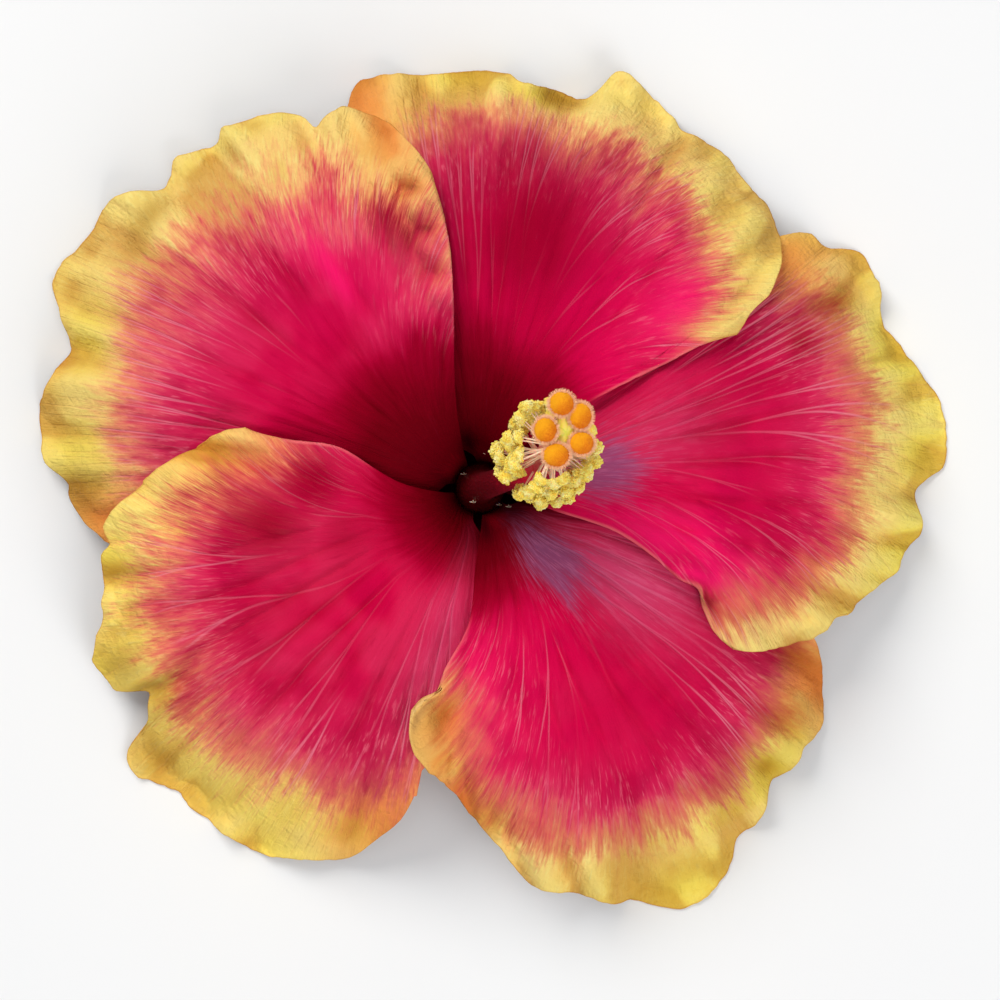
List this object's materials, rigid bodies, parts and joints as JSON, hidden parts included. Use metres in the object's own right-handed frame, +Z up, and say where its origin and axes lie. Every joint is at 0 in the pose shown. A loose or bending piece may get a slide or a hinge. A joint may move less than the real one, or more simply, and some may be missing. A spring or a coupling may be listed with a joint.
{
  "type": "hibiscus flower",
  "caption": "Open hibiscus bloom with broad overlapping petals and a leaning column of anthers and stigma pads, picked under its calyx and lying face up.",
  "frame": {"origin": "middle of the bloom's footprint, on the surface it lies on", "axes": "+Z up, out of the bloom's face; +X to the right and +Y to the top of the bloom as the picture shows it"},
  "size_m": [0.151, 0.1392, 0.0622],
  "materials": {
    "petal": "satin petal, yellow at the margin, crimson in the blade and maroon at the eye",
    "stamens": "powdery yellow anthers on pinkish filaments",
    "pistil": "velvety orange stigma pads on a yellow-green fork",
    "green_parts": "matte green"
  },
  "bodies": {
    "root": {"petal_right": "petal", "petal_top": "petal", "petal_upper_left": "petal", "petal_lower_left": "petal", "petal_bottom": "petal", "staminal_column": "stamens", "pistil": "pistil", "calyx": "green_parts", "epicalyx": "green_parts", "pedicel": "green_parts"}
  },
  "joints": []
}
